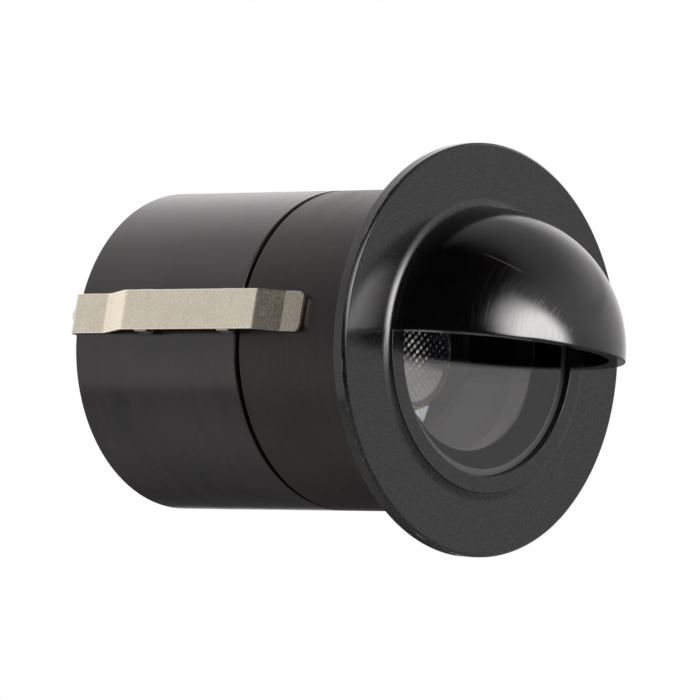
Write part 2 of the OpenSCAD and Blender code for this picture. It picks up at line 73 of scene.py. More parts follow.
class Wire:
    """A socket in a material's node tree. Arithmetic on wires adds Math nodes."""

    def __init__(self, tree, socket=None):
        self.tree = tree
        self.socket = socket

    def node(self, kind, settings=None, inputs=None, output=0):
        """Adds a node: its settings first, then the value or the wire of each of its inputs."""
        made = self.tree.nodes.new(kind)
        for name, value in (settings or {}).items():
            setattr(made, name, value)
        for name, value in (inputs or {}).items():
            if isinstance(value, Wire):
                self.tree.links.new(value.socket, made.inputs[name])
            else:
                made.inputs[name].default_value = value
        return Wire(self.tree, made.outputs[output])

    def maths(self, operation, *terms):
        return self.node("ShaderNodeMath", {"operation": operation}, dict(enumerate(terms)))

    def __add__(self, other):
        return self.maths("ADD", self, other)

    def __sub__(self, other):
        return self.maths("SUBTRACT", self, other)

    def __rsub__(self, other):
        return self.maths("SUBTRACT", other, self)

    def __mul__(self, other):
        return self.maths("MULTIPLY", self, other)

    def __truediv__(self, other):
        return self.maths("DIVIDE", self, other)

    def __rtruediv__(self, other):
        return self.maths("DIVIDE", other, self)

    def __pow__(self, other):
        return self.maths("POWER", self, other)

    __radd__ = __add__
    __rmul__ = __mul__


def finish(name, recipe, constants=None):
    """A material: constants go on the shader's own sockets, and recipe gives what changes over it."""
    made = bpy.data.materials.new(name)
    made.use_nodes = True
    tree = made.node_tree
    shader = tree.nodes["Principled BSDF"]
    for socket, value in (constants or {}).items():
        shader.inputs[socket].default_value = value
    for socket, wire in recipe(Wire(tree)).items():
        tree.links.new(wire.socket, shader.inputs[socket])
    return made


def place(w):
    """Position on the part in metres, as a vector and as its three values."""
    at = w.node("ShaderNodeTexCoord", output="Object")
    split = [w.node("ShaderNodeSeparateXYZ", inputs={0: at}, output=i) for i in range(3)]
    return at, *split


def from_axis(x, z):
    """Distance from the part's axis."""
    return (x * x + z * z) ** 0.5


def mottle(w, size_mm, at=None, detail=3.0):
    """Even noise from 0 to 1 with blotches of about size_mm."""
    values = {"Vector": at or place(w)[0], "Scale": 1 / (size_mm * MM), "Detail": detail}
    return w.node("ShaderNodeTexNoise", inputs=values)


def band(w, value, low, high):
    """Rises smoothly from 0 to 1 as value goes from low to high."""
    return w.node("ShaderNodeMapRange", {"interpolation_type": "SMOOTHSTEP"},
                  {"Value": value, "From Min": low, "From Max": high})


def tint(w, share, first, second):
    """Colour from first to second by share. Either may be a wire."""
    first, second = (c if isinstance(c, Wire) else (*c, 1) for c in (first, second))
    return w.node("ShaderNodeMix", {"data_type": "RGBA"}, {0: share, 6: first, 7: second}, output=2)


def relief(w, height, depth_mm):
    """Bump whose full height is depth_mm."""
    return w.node("ShaderNodeBump", inputs={"Height": height, "Distance": depth_mm * MM})


def tool_rings(w, pitch_mm, drift=0.3):
    """Rings left by the turning tool: noise along radius plus length that drifts slowly round the axis."""
    _, x, y, z = place(w)
    radius = from_axis(x, z)
    near = radius + 1e-5
    lined = w.node("ShaderNodeCombineXYZ", inputs={0: (radius + y) / (pitch_mm * MM), 1: x / near * drift,
                                                   2: z / near * drift})
    return w.node("ShaderNodeTexNoise", inputs={"Vector": lined, "Scale": 1.0, "Detail": 2.0})


def anodised(w, deep, pale, rough, depth_mm, scratched=0.0, hatched=0.0, shown=1.0):
    """Dyed oxide skin on turned aluminium. Shown fades its marks out, as a number or a wire."""
    fine = tool_rings(w, 0.16)
    broad = tool_rings(w, 0.9)
    hatch = tool_rings(w, 0.4, 0.8)
    scratches = band(w, tool_rings(w, 0.3, 3.0), 0.52, 0.66)
    cloud = mottle(w, 9.0)
    grain = mottle(w, 0.4, detail=4.0)
    handled = band(w, mottle(w, 4.0, detail=5.0), 0.52, 0.72)
    stain = band(w, cloud * 0.35 + grain * 0.35 + hatch * 0.3, 0.36, 0.64)
    dulling = ((fine - 0.5) * 0.10 + (cloud - 0.5) * 0.05 + handled * 0.03 + scratches * scratched * 0.1
               + (hatch - 0.5) * hatched)
    height = fine * 0.5 + broad * 0.7 + scratches * scratched + grain * 0.5
    return {"Base Color": tint(w, stain, deep, pale),
            "Roughness": rough + dulling * shown,
            "Normal": relief(w, height * shown, depth_mm)}


def eased(outline, radius, closed=True, steps=4):
    """Rounds the corners of an outline of (radius, y) points. A third number is a corner's own rounding."""
    done = []
    for i, corner in enumerate(outline):
        here = Vector(corner[:2])
        if not closed and i in (0, len(outline) - 1):
            done.append(here)
            continue
        back = Vector(outline[i - 1][:2]) - here
        ahead = Vector(outline[(i + 1) % len(outline)][:2]) - here
        bend = math.pi - back.angle(ahead)
        own = corner[2] if len(corner) > 2 else radius
        reach = min(own * math.tan(bend / 2), 0.45 * back.length, 0.45 * ahead.length)
        if bend < math.radians(14) or reach < 1e-4:
            done.append(here)
            continue
        start = here + back.normalized() * reach
        end = here + ahead.normalized() * reach
        for k in range(steps + 1):
            t = k / steps
            done.append(start * (1 - t) ** 2 + here * 2 * t * (1 - t) + end * t ** 2)
    return done


def turn(mesh, outline, closed=True, shape=None):
    """Adds an outline of (radius, y) points in mm, turned about the Y axis. Shape may change a radius."""
    rings = []
    for r, y in outline:
        if r < 1e-6:
            rings.append([mesh.verts.new((0, y * MM, 0))])
            continue
        ring = []
        for i in range(AROUND):
            a = 2 * math.pi * i / AROUND
            s = (shape(r, y, a) if shape else r) * MM
            ring.append(mesh.verts.new((s * math.cos(a), y * MM, s * math.sin(a))))
        rings.append(ring)
    for a, b in zip(rings, rings[1:] + rings[:1] if closed else rings[1:]):
        for i in range(AROUND):
            after = (i + 1) % AROUND
            corners = [a[i % len(a)], a[after % len(a)], b[after % len(b)], b[i % len(b)]]
            corners = list(dict.fromkeys(corners))
            if len(corners) > 2:
                mesh.faces.new(corners)


def join_rows(mesh, rows, around=True):
    """Adds the faces between neighbouring rows of points. Around closes each row into a ring."""
    for a, b in zip(rows, rows[1:]):
        for k in range(len(a) if around else len(a) - 1):
            after = (k + 1) % len(a)
            mesh.faces.new((a[k], a[after], b[after], b[k]))


def piece(name, mesh, crease=38):
    """Object from a finished mesh: welded, smooth, with sharp edges beyond the crease angle."""
    bmesh.ops.remove_doubles(mesh, verts=mesh.verts, dist=1e-7)
    bmesh.ops.recalc_face_normals(mesh, faces=mesh.faces)
    data = bpy.data.meshes.new(name)
    mesh.to_mesh(data)
    mesh.free()
    data.polygons.foreach_set("use_smooth", [True] * len(data.polygons))
    data.set_sharp_from_angle(angle=math.radians(crease))
    made = bpy.data.objects.new(name, data)
    bpy.context.scene.collection.objects.link(made)
    weighted = made.modifiers.new("even_shading", "WEIGHTED_NORMAL")
    weighted.keep_sharp = True
    return made


def fit(made, body, material, slot, *nodes):
    """Gives a piece its material, its body and the solids that it stands for. Slot is not used."""
    made.data.materials.append(material)
    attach(made, body)
    if nodes:
        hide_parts(*nodes)
    return made


def ball_skin(mesh, radius):
    """Quarter of a ball's skin over the cut, in rows from ring to crown. Returns the row in the ring."""
    waist = math.sqrt(radius ** 2 - RIM_EASE ** 2)
    rows = []
    for i in range(ACROSS // 2 + 1):
        phi = math.pi * i / (ACROSS - 1)
        y = DOME_Y - waist * math.sin(phi)
        r = math.sqrt(RIM_EASE ** 2 + (waist * math.cos(phi)) ** 2)
        first = math.asin(min(1.0, RIM_EASE / r))
        angles = [first + (math.pi - 2 * first) * k / (ACROSS - 1) for k in range(ACROSS)]
        rows.append([mesh.verts.new((r * math.cos(a) * MM, y * MM, r * math.sin(a) * MM)) for a in angles])
    join_rows(mesh, rows, around=False)
    return rows[0]


def eyelid(mesh):
    """Half-dome over the glass: two skins, the flat cut face with eased edges, and the end in the ring."""
    outer = ball_skin(mesh, DOME_R)
    inner = ball_skin(mesh, POCKET_R)
    join_rows(mesh, [outer, inner], around=False)
    turns = [math.radians(90 * k / 4) for k in range(5)]
    edge = [(math.sqrt(DOME_R ** 2 - RIM_EASE ** 2), RIM_EASE)]
    edge += [(DOME_R - RIM_EASE * (1 - math.cos(t)), RIM_EASE * (1 - math.sin(t))) for t in turns[1:]]
    edge += [(POCKET_R + RIM_EASE * (1 - math.cos(t)), RIM_EASE * (1 - math.sin(t))) for t in turns[:0:-1]]
    edge += [(math.sqrt(POCKET_R ** 2 - RIM_EASE ** 2), RIM_EASE)]
    columns = []
    for i in range(ACROSS):
        phi = math.pi * i / (ACROSS - 1)
        columns.append([mesh.verts.new((r * math.cos(phi) * MM, (DOME_Y - r * math.sin(phi)) * MM, z * MM))
                        for r, z in edge])
    join_rows(mesh, columns, around=False)


plate_outline = [(POCKET_R - 0.01, RING_Y, 0.08), (RING_R, RING_Y, 0.1)]
for step in range(0, 91, 9):
    t = math.radians(step)
    plate_outline.append((RING_R + FILLET_W * (1 - math.cos(t)), FACE_Y - FILLET_H * (1 - math.sin(t))))
plate_outline += [(29.6, FACE_Y, 0.12), (FLANGE_R, BEVEL_Y, 0.12), (FLANGE_R, 0.0, 0.1), (SEAT_R, 0.0),
                  (SEAT_R, SEAT_Y), (SPIGOT_R, SEAT_Y), (SPIGOT_R, GROOVE_START), (GROOVE_R, GROOVE_START),
                  (GROOVE_R, GROOVE_END), (SPIGOT_R, GROOVE_END), (SPIGOT_R, SPIGOT_END, 0.2),
                  (CLEAR_R, SPIGOT_END, 0.1), (CLEAR_R, LEDGE_Y), (POCKET_R, LEDGE_Y), (POCKET_R, DOME_Y, 0)]
faceplate_mesh = bmesh.new()
turn(faceplate_mesh, eased(plate_outline, 0.04))
eyelid(faceplate_mesh)


def painted_light_below(w, z):
    """Share of painted light in the lower half of a bore, where the bore is painted paler."""
    return 1 - band(w, z, -3.0 * MM, -0.5 * MM)


def plate_black(w):
    """Glossy black: the eyelid scratched by polishing, with one long mark on its left, the flange faintly
    grained and worn at its rim, and the bore behind the glass dull, with painted light that makes it paler
    towards the bottom."""
    _, x, y, z = place(w)
    radius = from_axis(x, z)
    bore = band(w, y, 3.5 * MM, 4.3 * MM) * (1 - band(w, radius, 16.2 * MM, 17.0 * MM))
    crown = 1 - band(w, y, -3.6 * MM, -3.0 * MM)
    made = anodised(w, (0.0003, 0.0002, 0.0003), (0.0012, 0.0010, 0.0010), 0.14, 0.0014,
                    scratched=crown * 0.7 + 0.1, shown=1 - bore)
    chips = band(w, mottle(w, 3.5, detail=3.0), 0.5, 0.72)
    front_rim = ((radius - FLANGE_R * MM) ** 2 + (y - BEVEL_Y * MM) ** 2) ** 0.5
    back_rim = ((radius - FLANGE_R * MM) ** 2 + y ** 2) ** 0.5
    worn = (1 - band(w, w.maths("MINIMUM", front_rim, back_rim), 0.03 * MM, 0.13 * MM)) * chips
    fillet = 1 - band(w, w.maths("ABSOLUTE", radius - 21.3 * MM), 0.5 * MM, 0.9 * MM)
    fillet = fillet * (1 - band(w, y, FACE_Y * MM, 0))
    grained = band(w, mottle(w, 0.28, detail=5.0), 0.4, 0.7) * (1 - crown) * (1 - bore)
    skin = tint(w, grained, made["Base Color"], (0.009, 0.0085, 0.0088))
    off_mark = w.maths("ABSOLUTE", x * 0.631 + (y - DOME_Y * MM) * 0.0715 + z * 0.772)
    mark = (1 - band(w, off_mark, 0.02 * MM, 0.07 * MM)) * band(w, y, -17.6 * MM, -16.4 * MM)
    mark = mark * (1 - band(w, y, -13.4 * MM, -11.8 * MM))
    skin = tint(w, mark, skin, (0.045, 0.035, 0.028))
    # Painted light: the bore behind the glass is painted pale grey towards its bottom.
    skin = tint(w, bore * painted_light_below(w, z), skin, (0.20, 0.195, 0.195))
    made["Base Color"] = tint(w, worn, skin, (0.08, 0.083, 0.085))
    made["Roughness"] = made["Roughness"] + bore * 0.6 + worn * 0.2 + fillet * 0.12 + mark * 0.12
    return made


plate_finish = finish("plate_anodised", plate_black, {"IOR": 1.5})
fit(piece("faceplate", faceplate_mesh), "bezel", plate_finish, "black_anodised", "eyelid_faceplate")

# Front collar: turned tube that carries the faceplate in its socket and screws into the housing with a
# fine outside thread. Its black is a little browner than the faceplate's, from another dye bath.
BODY_R = 23.5
BORE_R = 18.5
SOCKET_END = 9.15
SEAM_R = 23.38
SEAM_FRONT = 24.62
COLLAR_GROOVE_R = 19.9
COLLAR_GROOVE_START = 26.7
COLLAR_GROOVE_END = 28.3
THREAD_R = 21.0
THREAD_START = 29.9
THREAD_END = 37.7
THREAD_DEPTH = 0.6
PITCH = 1.5
COLLAR_END = 37.9


def thread(r, y, a):
    """Radius of the collar's outside with its thread cut in, which runs out at both ends."""
    if r < THREAD_R - 0.01 or not THREAD_START < y < THREAD_END:
        return r
    turn_share = (y / PITCH + a / (2 * math.pi)) % 1.0
    depth = THREAD_DEPTH * min(1.0, max(0.0, 1.12 - abs(2 * turn_share - 1) * 1.3))
    fade = min(1.0, (y - THREAD_START) / 0.8) * min(1.0, (THREAD_END - y) / 0.5)
    return r - depth * fade


collar_outline = eased([
    (THREAD_R, SEAT_Y), (BODY_R, SEAT_Y, 0.1), (BODY_R, 24.52, 0.08), (SEAM_R, SEAM_FRONT, 0.05),
    (THREAD_R, SEAM_FRONT), (THREAD_R, COLLAR_GROOVE_START), (COLLAR_GROOVE_R, COLLAR_GROOVE_START),
    (COLLAR_GROOVE_R, COLLAR_GROOVE_END), (THREAD_R, COLLAR_GROOVE_END)], 0.05, closed=False)
collar_outline += [Vector((THREAD_R, 29.7 + 0.1 * k)) for k in range(81)]
collar_outline += eased([(THREAD_R, THREAD_END), (20.8, COLLAR_END), (BORE_R, COLLAR_END),
                         (BORE_R, SOCKET_END), (THREAD_R, SOCKET_END)], 0.08, closed=False)[1:]
collar_mesh = bmesh.new()
turn(collar_mesh, collar_outline, shape=thread)


def collar_black(w):
    """The browner black of the collar, with coarser turning marks outside and a dull, dark bore, painted
    paler towards its bottom as painted light.
    """
    _, x, _, z = place(w)
    outside = band(w, from_axis(x, z), 19.2 * MM, 20.6 * MM)
    # Painted light: the bore is painted pale grey towards its bottom.
    inside = tint(w, painted_light_below(w, z), (0.0008, 0.0008, 0.0008), (0.30, 0.29, 0.29))
    made = anodised(w, (0.0045, 0.0018, 0.0016), (0.0150, 0.0090, 0.0084), 0.38, 0.004, hatched=0.16,
                    shown=outside)
    made["Base Color"] = tint(w, outside, inside, made["Base Color"])
    dull = 0.8
    made["Roughness"] = dull + (made["Roughness"] - dull) * outside
    return made


collar_finish = finish("collar_anodised", collar_black, {"IOR": 1.4})
fit(piece("collar", collar_mesh), "bezel", collar_finish, "black_anodised", "front_collar")

# Rear housing: deep turned cup behind the seam, with the driver's room and a thick end wall.
# Same black skin, and its outside was turned with a finer feed.
SEAM_BACK = 25.48
HOUSING_END = 57.7
WALL_Y = 54.2
GLAND_HOLE_R = 5.05
THREAD_BORE_R = 21.05
THREAD_BORE_END = 41.95
housing_outline = [
    (THREAD_BORE_R, SEAM_BACK, 0.1), (SEAM_R, SEAM_BACK, 0.05), (BODY_R, 25.6, 0.08), (BODY_R, 57.5, 0.12),
    (23.3, HOUSING_END, 0.12), (GLAND_HOLE_R, HOUSING_END, 0.1), (GLAND_HOLE_R, WALL_Y), (BORE_R, WALL_Y),
    (BORE_R, THREAD_BORE_END), (THREAD_BORE_R, THREAD_BORE_END)]
housing_mesh = bmesh.new()
turn(housing_mesh, eased(housing_outline, 0.05))


def housing_black(w):
    return anodised(w, (0.0016, 0.0010, 0.0008), (0.0110, 0.0088, 0.0082), 0.23, 0.0014, hatched=0.05)


housing_finish = finish("housing_anodised", housing_black, {"IOR": 1.5})
fit(piece("housing", housing_mesh), "housing", housing_finish, "black_anodised", "rear_housing")

# Glass: thick tempered disc with a ground bevel round its front, clear with a faint green cast.
# A black border is fired on its back, just outside the clear opening, and hides the gasket. The ground
# face of the bevel is a thin ring of its own.
GLASS_R = 17.75
GLASS_FRONT = -1.85
GLASS_BACK = 4.15
BORDER_R = 14.6
glass_mesh = bmesh.new()
turn(glass_mesh, eased([(0.0, GLASS_FRONT), (17.25, GLASS_FRONT, 0.06), (GLASS_R, -1.35, 0.06),
                        (GLASS_R, GLASS_BACK, 0.06), (0.0, GLASS_BACK)], 0.05, closed=False), closed=False)


def clear_glass(w):
    smear = band(w, mottle(w, 6.0, detail=6.0), 0.5, 0.75)
    return {"Base Color": tint(w, smear, (0.985, 0.99, 0.985), (0.955, 0.965, 0.96)),
            "Roughness": smear * 0.012}


glass_finish = finish("tempered_glass", clear_glass, {"Transmission Weight": 1.0, "IOR": 1.56})
fit(piece("glass", glass_mesh, crease=30), "bezel", glass_finish, "clear_glass", "lens_glass")


def fired_enamel(w):
    speck = mottle(w, 0.3, detail=4.0)
    return {"Base Color": tint(w, speck, (0.0006, 0.0006, 0.0006), (0.0014, 0.0013, 0.0013)),
            "Roughness": 0.35 + speck * 0.2}


border_mesh = bmesh.new()
turn(border_mesh, [(BORDER_R, 4.06), (17.70, 4.06), (17.70, 4.11), (BORDER_R, 4.11)])
border_finish = finish("fired_border", fired_enamel, {"Specular IOR Level": 0.0})
fit(piece("glass_border", border_mesh), "bezel", border_finish, "black_sealant")


def ground_edge(w):
    grit = mottle(w, 0.12, detail=3.0)
    return {"Base Color": tint(w, grit, (0.014, 0.015, 0.015), (0.034, 0.036, 0.036)),
            "Roughness": 0.26 + grit * 0.1,
            "Normal": relief(w, grit, 0.004)}


bevel_mesh = bmesh.new()
turn(bevel_mesh, eased([(17.18, -1.853), (18.22, -1.86), (18.24, -1.4), (17.78, -1.3), (17.26, -1.8)], 0.02))
bevel_finish = finish("ground_bevel", ground_edge, {"IOR": 1.5})
fit(piece("glass_bevel", bevel_mesh), "bezel", bevel_finish, "clear_glass")

# Seals: the flat gasket behind the glass, the two round rings and the washer under the gland, all moulded
# in matt black rubber, and the bead of glossy sealant run round the glass.


def rubber(w):
    bloom = mottle(w, 1.4, detail=5.0)
    pores = mottle(w, 0.12, detail=2.0)
    return {"Base Color": tint(w, bloom, (0.010, 0.010, 0.010), (0.022, 0.021, 0.021)),
            "Roughness": 0.55 + bloom * 0.25,
            "Normal": relief(w, pores, 0.01)}


def sealant(w):
    waves = mottle(w, 2.2, detail=2.0)
    return {"Base Color": tint(w, waves, (0.004, 0.004, 0.004), (0.010, 0.010, 0.010)),
            "Roughness": 0.18 + waves * 0.15,
            "Normal": relief(w, waves, 0.05)}


def dress(node, material):
    """Puts a material on a solid that stays as it is."""
    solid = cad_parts[node]
    for held in solid.material_slots:
        held.material = material
    if not solid.material_slots:
        solid.data.materials.append(material)


rubber_finish = finish("moulded_rubber", rubber)
for node in ("lens_gasket", "faceplate_o_ring", "collar_o_ring", "gland_washer"):
    dress(node, rubber_finish)
dress("lens_edge_seal", finish("sealant_bead", sealant))

# Optic: clear moulded acrylic that gathers the light. Its face is a field of small pillow lenses, its side
# is a smooth parabola, and three pointed lugs centre it in the holder.
OPTIC_Y = 15.15
OPTIC_R = 8.6
PLATE_T = 1.2
SIDE_R = 8.2
FOOT_R = 4.5
SIDE_H = 7.7
SIDE_ROWS = 24
FACE_ROWS = 86
CELL_PITCH = 0.95 * math.sqrt(2)
PILLOW_DEPTH = 0.26 * 0.95
LUG_ANGLES = (-68, 52, 172)


def pillow(x, z):
    """Depth of the face below the tops of the pillow lenses, which lie on a diagonal grid."""
    u = (x + z) / CELL_PITCH % 1.0 - 0.5
    v = (x - z) / CELL_PITCH % 1.0 - 0.5
    return PILLOW_DEPTH * (u * u + v * v)


optic_mesh = bmesh.new()
face_rings = []
for i in range(1, FACE_ROWS + 1):
    r = OPTIC_R * i / FACE_ROWS
    ring = []
    for k in range(AROUND):
        a = 2 * math.pi * k / AROUND
        x, z = r * math.cos(a), r * math.sin(a)
        ring.append(optic_mesh.verts.new((x * MM, (OPTIC_Y + pillow(x, z)) * MM, z * MM)))
    face_rings.append(ring)
hub = optic_mesh.verts.new((0, (OPTIC_Y + pillow(0, 0)) * MM, 0))
for k in range(AROUND):
    optic_mesh.faces.new((hub, face_rings[0][k], face_rings[0][(k + 1) % AROUND]))
join_rows(optic_mesh, face_rings)
side = [(OPTIC_R, OPTIC_Y + PLATE_T), (SIDE_R, OPTIC_Y + PLATE_T)]
side += [(FOOT_R + (SIDE_R - FOOT_R) * math.sqrt(1 - k / SIDE_ROWS),
          OPTIC_Y + PLATE_T + SIDE_H * k / SIDE_ROWS) for k in range(1, SIDE_ROWS + 1)]
side += [(2.6, 24.05), (2.6, 20.85), (1.3, 20.55), (0.0, 20.45)]
turn(optic_mesh, side, closed=False)
rim = [v for v in optic_mesh.verts if abs(math.hypot(v.co.x, v.co.z) - OPTIC_R * MM) < 1e-8]
rim.sort(key=lambda v: math.atan2(v.co.z, v.co.x))
rim_middle = (OPTIC_Y + PLATE_T - 0.1) * MM
join_rows(optic_mesh, [[v for v in rim if v.co.y < rim_middle], [v for v in rim if v.co.y > rim_middle]])
lug_mesh = bmesh.new()
for turn_angle in LUG_ANGLES:
    way = Quaternion((0, 1, 0), -math.radians(turn_angle))
    flat = [(8.7, -1.75), (10.62, -0.12), (10.62, 0.12), (8.7, 1.75)]
    tops, feet = ([lug_mesh.verts.new(way @ Vector((x * MM, y * MM, z * MM))) for x, z in flat]
                  for y in (OPTIC_Y + 0.05, OPTIC_Y + PLATE_T))
    lug_mesh.faces.new(tops)
    lug_mesh.faces.new(feet[::-1])
    join_rows(lug_mesh, [tops, feet])


def acrylic(w):
    """Painted light on the optic: a glow in the pillow lenses, also shown as emission and strongest near the
    middle, bright spots in the cells, a paler lower part, and a violet ring and yellow-olive rim painted as
    reflections.
    """
    _, x, _, z = place(w)
    radius = from_axis(x, z)
    pitch = CELL_PITCH * MM
    along = w.maths("ABSOLUTE", w.maths("WRAP", (x + z) / pitch, 0.5, -0.5))
    across = w.maths("ABSOLUTE", w.maths("WRAP", (x - z) / pitch, 0.5, -0.5))
    middle = 1 - band(w, radius, 0.8 * MM, 5.2 * MM)
    # Painted highlight: a bright spot in each pillow lens, larger near the middle.
    painted_glint = 1 - band(w, (along ** 2 + (across * 1.6) ** 2) ** 0.5 - middle * 0.14, 0.10, 0.36)
    lively = band(w, mottle(w, 1.3, detail=1.0), 0.35, 0.62)
    # Painted glow, strongest near the middle.
    painted_glow = painted_glint * (0.3 + lively * 0.7) * (0.14 + middle * 0.86)
    # Painted light: the lower part of the optic is painted paler.
    painted_lower_light = (1 - band(w, z, -2.6 * MM, -1.2 * MM)) * (1 - band(w, radius, 7.4 * MM, 8.0 * MM))
    lit = tint(w, w.maths("MAXIMUM", painted_glow, painted_lower_light * 0.55), (0.018, 0.018, 0.045), (0.97, 0.95, 0.88))
    # Painted reflections: a violet ring and a yellow-olive rim.
    violet = tint(w, band(w, radius, 7.3 * MM, 7.9 * MM), lit, (0.035, 0.022, 0.11))
    return {"Base Color": tint(w, band(w, radius, 8.0 * MM, 8.3 * MM), violet, (0.16, 0.17, 0.05)),
            "Emission Color": tint(w, painted_glow, (0.0, 0.0, 0.0), (0.34, 0.33, 0.28)),
            "Roughness": 0.02 + painted_glint * 0.06}


# The emission lets the painted glow shine, though the optic is no lamp.
optic_finish = finish("moulded_acrylic", acrylic, {"Transmission Weight": 0.4, "IOR": 1.49,
                                                   "Emission Strength": 1.0})
fit(piece("optic", optic_mesh, crease=30), "housing", optic_finish, "clear_optic", "tir_optic")


def frosted_acrylic(w):
    grain = mottle(w, 0.2, detail=4.0)
    return {"Base Color": tint(w, grain, (0.70, 0.75, 0.82), (0.82, 0.87, 0.92)),
            "Roughness": 0.35 + grain * 0.2,
            "Normal": relief(w, grain, 0.01)}


frosted_finish = finish("frosted_acrylic", frosted_acrylic, {"Transmission Weight": 0.25, "IOR": 1.49})
fit(piece("optic_lugs", lug_mesh, crease=30), "housing", frosted_finish, "clear_optic", "tir_optic")

# Light source stack: black moulded holder, white metal-core board, yellow light source, soft grey pad and
# the turned heat sink behind, held by two small plated screws.


def black_moulding(w):
    cloud = mottle(w, 2.0, detail=4.0)
    spark = mottle(w, 0.15, detail=2.0)
    return {"Base Color": tint(w, cloud, (0.003, 0.003, 0.003), (0.007, 0.007, 0.0075)),
            "Roughness": 0.55 + cloud * 0.2,
            "Normal": relief(w, spark, 0.012)}


def white_mask(w):
    cloud = mottle(w, 1.5, detail=5.0)
    return {"Base Color": tint(w, cloud, (0.80, 0.80, 0.77), (0.88, 0.88, 0.86)),
            "Roughness": 0.28 + cloud * 0.15,
            "Normal": relief(w, cloud, 0.01)}


def phosphor(w):
    _, x, _, z = place(w)
    radius = from_axis(x, z)
    grains = mottle(w, 0.08, detail=3.0)
    die = 1 - band(w, radius, 1.25 * MM, 1.35 * MM)
    yellow = tint(w, grains, (0.78, 0.60, 0.06), (0.88, 0.72, 0.12))
    return {"Base Color": tint(w, die, (0.85, 0.85, 0.80), yellow),
            "Roughness": 0.25 + grains * 0.2}


def soft_pad(w):
    fibre = mottle(w, 0.25, detail=6.0)
    return {"Base Color": tint(w, fibre, (0.30, 0.32, 0.35), (0.44, 0.46, 0.49)),
            "Roughness": 0.7 + fibre * 0.2,
            "Normal": relief(w, fibre, 0.02)}


def bare_turned(w):
    rings = tool_rings(w, 0.2)
    cloud = mottle(w, 5.0)
    return {"Base Color": tint(w, cloud, (0.62, 0.62, 0.63), (0.78, 0.78, 0.79)),
            "Roughness": 0.25 + rings * 0.2,
            "Normal": relief(w, rings, 0.004)}


def bright_zinc(w):
    cloud = mottle(w, 0.8, detail=4.0)
    pits = mottle(w, 0.1, detail=2.0)
    return {"Base Color": tint(w, cloud, (0.56, 0.56, 0.55), (0.72, 0.72, 0.70)),
            "Roughness": 0.2 + cloud * 0.2,
            "Normal": relief(w, pits, 0.004)}


zinc_finish = finish("bright_zinc", bright_zinc, {"Metallic": 1.0})
dress("optic_holder", finish("holder_moulding", black_moulding))
dress("led_board", finish("board_white", white_mask))
dress("led_chip", finish("light_source", phosphor, {"Coat Weight": 0.6}))
dress("thermal_pad", finish("thermal_pad", soft_pad))
dress("heat_sink", finish("sink_aluminium", bare_turned, {"Metallic": 1.0}))
dress("board_screws", zinc_finish)

# Driver and leads: a cream insulating tray with a small green board, its coil, capacitor, rectifier, chip
# and green terminal, and two insulated leads up to the light source.


def moulded(first, second, rough, bump_mm):
    """Recipe for a moulded or dipped plastic with faint clouds and a fine skin."""
    def recipe(w):
        cloud = mottle(w, 2.5, detail=4.0)
        skin = mottle(w, 0.18, detail=2.0)
        return {"Base Color": tint(w, cloud, first, second),
                "Roughness": rough + cloud * 0.15,
                "Normal": relief(w, skin, bump_mm)}
    return recipe


def solder_mask(w):
    _, x, _, z = place(w)
    tracks = w.node("ShaderNodeTexBrick", {"offset": 0.5}, {
        "Vector": w.node("ShaderNodeCombineXYZ", inputs={0: x, 1: z, 2: 0.0}), "Scale": 250.0,
        "Mortar Size": 0.06, "Mortar Smooth": 0.2, "Color1": (0, 0, 0, 1), "Color2": (0, 0, 0, 1),
        "Mortar": (1, 1, 1, 1)}, output="Fac")
    cloud = mottle(w, 1.2, detail=3.0)
    return {"Base Color": tint(w, tracks * 0.7 + cloud * 0.3, (0.008, 0.10, 0.03), (0.03, 0.24, 0.09)),
            "Roughness": 0.22 + cloud * 0.12,
            "Normal": relief(w, tracks, 0.03)}


mouldings = {
    "led_lead_plus": ((0.42, 0.012, 0.008), (0.60, 0.03, 0.02), 0.35),
    "led_lead_minus": ((0.010, 0.010, 0.010), (0.024, 0.024, 0.024), 0.35),
    "driver_tray": ((0.66, 0.63, 0.55), (0.78, 0.75, 0.68), 0.4),
    "driver_inductor": ((0.030, 0.030, 0.030), (0.075, 0.072, 0.070), 0.6),
    "driver_capacitor": ((0.018, 0.035, 0.10), (0.035, 0.065, 0.17), 0.25),
    "driver_rectifier": ((0.014, 0.014, 0.014), (0.032, 0.032, 0.032), 0.45),
    "driver_controller": ((0.014, 0.014, 0.014), (0.032, 0.032, 0.032), 0.45),
    "input_terminal": ((0.03, 0.24, 0.08), (0.06, 0.36, 0.14), 0.4),
}
for node, (first, second, rough) in mouldings.items():
    dress(node, finish(node + "_finish", moulded(first, second, rough, 0.008)))
dress("driver_board", finish("driver_board_mask", solder_mask))
dress("terminal_screws", zinc_finish)

# Spring clips: strips of tumbled spring steel bent to a raised grip, with a screwed tab, two pairs of ears
# folded in from their sides and a tip with round corners. One lies on each side of the body.
CLIP_W = 6.0
CLIP_T = 0.55
CLIP_ANGLE = math.radians(5.2)
FOOT_SIDE = 23.55
RAISED_R = 25.75
TIP_R = 23.75
TIP_Y = 12.2
TIP_ROUND = 1.0
EAR_YS = (42.1, 25.7)
EAR_HALF = 1.15
FOLD_R = 0.45


